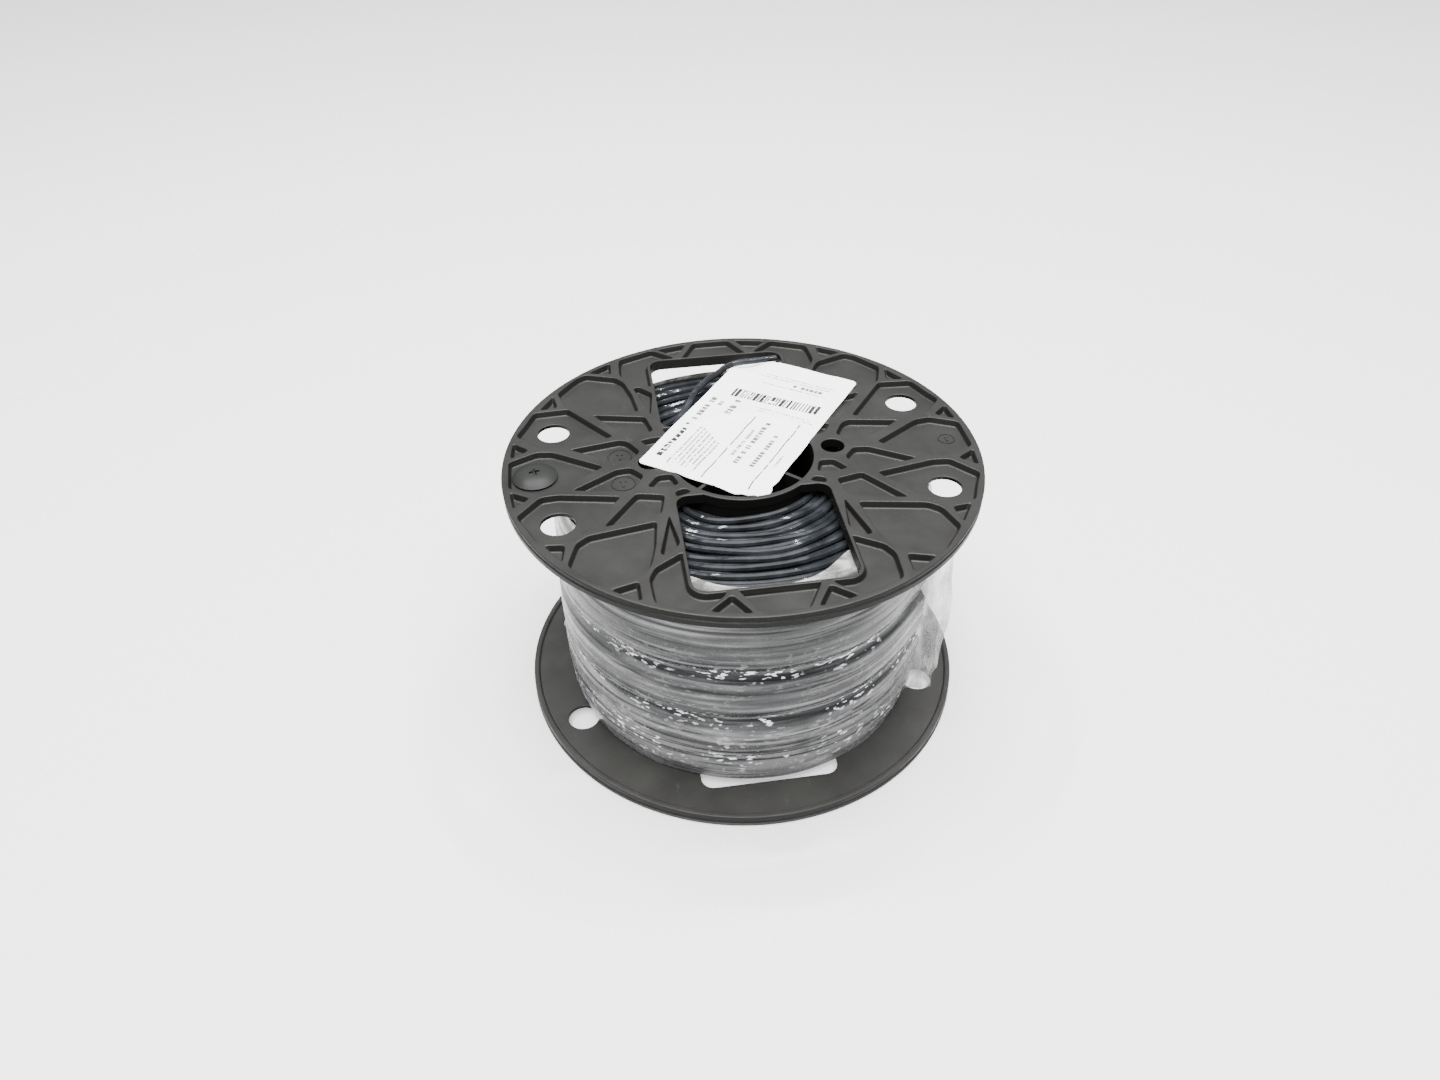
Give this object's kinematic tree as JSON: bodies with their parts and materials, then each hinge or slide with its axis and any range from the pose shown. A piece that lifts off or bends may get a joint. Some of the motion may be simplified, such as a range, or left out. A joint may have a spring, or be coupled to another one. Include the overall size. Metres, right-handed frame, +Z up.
{
  "type": "reel of electrical building wire",
  "caption": "Plastic reel of stretch-wrapped electrical building wire, with windowed ribbed flanges, a paper label and a loose wire end.",
  "frame": {"origin": "centre of the reel's foot, on the plane of the lower flange's rib tops", "axes": "+Z up along the reel's axis; the flange windows lie along +Y and -Y; the plug is in the upper flange at -X"},
  "size_m": [0.1651, 0.1652, 0.0995],
  "materials": {
    "flange_plastic": "moulded, matt, with a faint sheen",
    "plug_plastic": "moulded, matt",
    "wire_jacket": "smooth nylon jacket, glossy",
    "stretch_film": "clear stretch film in several layers, milky and streaked",
    "label_paper": "smooth printed paper, slightly creased"
  },
  "bodies": {
    "root": {"reel_half_bottom": "flange_plastic", "reel_half_top": "flange_plastic", "flange_plug": "plug_plastic", "wire_coil": "wire_jacket", "wire_tail": "wire_jacket", "stretch_wrap": "stretch_film", "label": "label_paper"}
  },
  "joints": []
}
